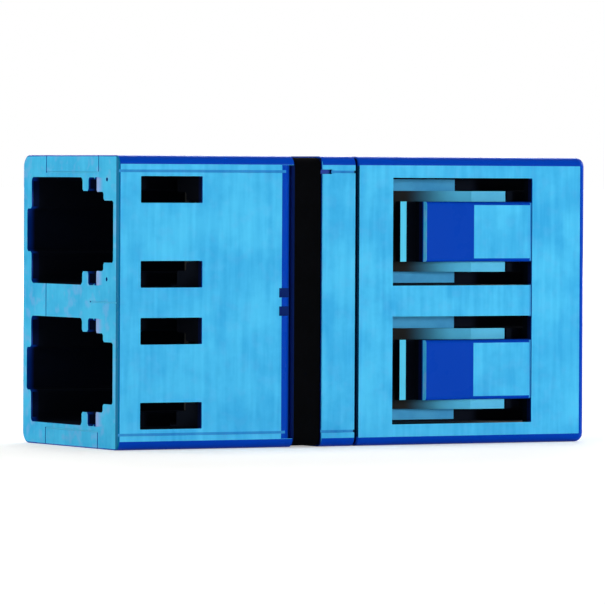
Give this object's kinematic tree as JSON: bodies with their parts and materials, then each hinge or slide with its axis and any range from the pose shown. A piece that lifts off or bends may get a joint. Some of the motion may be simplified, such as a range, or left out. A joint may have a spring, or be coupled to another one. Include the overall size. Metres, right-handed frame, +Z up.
{
  "type": "duplex lc fibre adapter",
  "caption": "Fibre-optic adapter that joins paired LC plugs end to end, with split ceramic sleeves inside and springy tongues that hold it in a panel.",
  "frame": {"origin": "middle of the narrow side that the adapter stands on, under the plane where the ferrules meet", "axes": "+X along the adapter from the front ports to the rear ports, +Z up in the direction in which the ports are stacked, -Y out of the broad side with the latch windows and tongues"},
  "size_m": [0.0242, 0.01, 0.013],
  "materials": {
    "housing_blue": "satin moulded plastic, polished on the edge radii and ramps",
    "ring_black": "matt elastomer",
    "carrier_grey": "satin moulded plastic",
    "ceramic_white": "polished ceramic"
  },
  "bodies": {
    "root": {"front_housing": "housing_blue", "rear_housing": "housing_blue", "seal_ring": "ring_black", "upper_sleeve_carrier": "carrier_grey", "lower_sleeve_carrier": "carrier_grey", "upper_sleeve_cap": "carrier_grey", "lower_sleeve_cap": "carrier_grey", "upper_alignment_sleeve": "ceramic_white", "lower_alignment_sleeve": "ceramic_white"}
  },
  "joints": []
}
